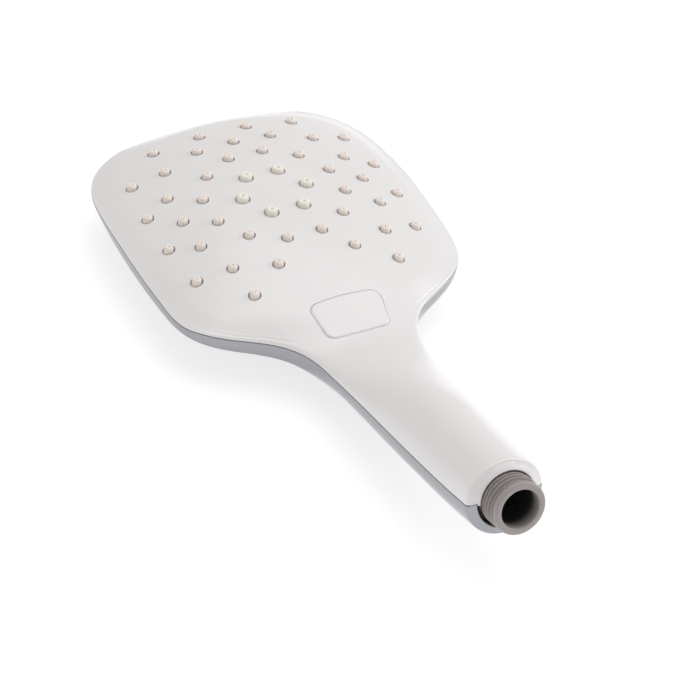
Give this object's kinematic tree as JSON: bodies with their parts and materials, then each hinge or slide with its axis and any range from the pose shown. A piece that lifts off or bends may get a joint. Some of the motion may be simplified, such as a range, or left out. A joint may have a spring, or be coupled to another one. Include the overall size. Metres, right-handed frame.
{
  "type": "handheld shower head",
  "caption": "Handheld shower head with a wide square domed spray face, soft nozzles, a push-button selector at the neck and a threaded hose connector on a curved handle.",
  "frame": {"origin": "centre of the hose connector's end face, on the thread's axis", "axes": "+Y runs up the handle to the top of the head, +Z is the direction the water leaves the middle of the spray face, +X is sideways; the hose axis leaves the origin towards -Y, 14.84 degrees up towards +Z"},
  "size_m": [0.1308, 0.2728, 0.0496],
  "materials": {
    "white_shell": "satin gloss white ABS",
    "white_button": "satin gloss white ABS",
    "chrome": "bright chrome plate on ABS",
    "nozzle_silicone": "pinkish beige silicone",
    "jet_silicone": "cream silicone",
    "connector_grey": "moulded grey glass-filled plastic",
    "chamber_plastic": "natural moulded plastic",
    "valve_plastic": "dark moulded acetal",
    "acetal": "natural acetal",
    "seal_rubber": "black EPDM",
    "stainless": "stainless steel"
  },
  "bodies": {
    "casing": {"front_shell": "white_shell", "back_shell": "chrome", "nozzle_mat": "nozzle_silicone", "jet_nozzles": "jet_silicone", "hose_connector": "connector_grey", "spray_chamber": "chamber_plastic", "water_duct": "chamber_plastic", "water_tube": "chamber_plastic", "valve_body": "valve_plastic", "valve_cap": "valve_plastic", "flow_regulator": "valve_plastic", "check_valve_body": "acetal", "duct_gasket": "seal_rubber", "stem_seal": "seal_rubber", "rotor_seal": "seal_rubber", "tube_seal_front": "seal_rubber", "tube_seal_rear": "seal_rubber", "plunger_spring": "stainless", "check_valve_spring": "stainless", "chamber_screws": "stainless", "filter_screen": "stainless", "connector_clip": "stainless"},
    "button": {"selector_button": "white_button", "selector_plunger": "acetal", "plunger_seal": "seal_rubber"},
    "rotor": {"selector_rotor": "acetal"},
    "poppet": {"check_valve_poppet": "acetal"}
  },
  "joints": [
    {"name": "button_press", "type": "slide", "parent": "casing", "child": "button", "axis": [0, 0.2561, -0.9666], "range_m": [0, 0.0024], "stiffness_N_per_m": 1500, "springref_m": -0.002, "deforming": ["plunger_spring"]},
    {"name": "selector_turn", "type": "hinge", "parent": "casing", "child": "rotor", "pos_m": [0, 0.1358, -0.02707], "axis": [0, -0.2561, 0.9666], "continuous": true},
    {"name": "check_valve_open", "type": "slide", "parent": "casing", "child": "poppet", "axis": [0, 0.9666, -0.2561], "range_m": [0, 0.002], "stiffness_N_per_m": 100, "springref_m": -0.001, "deforming": ["check_valve_spring"]}
  ]
}
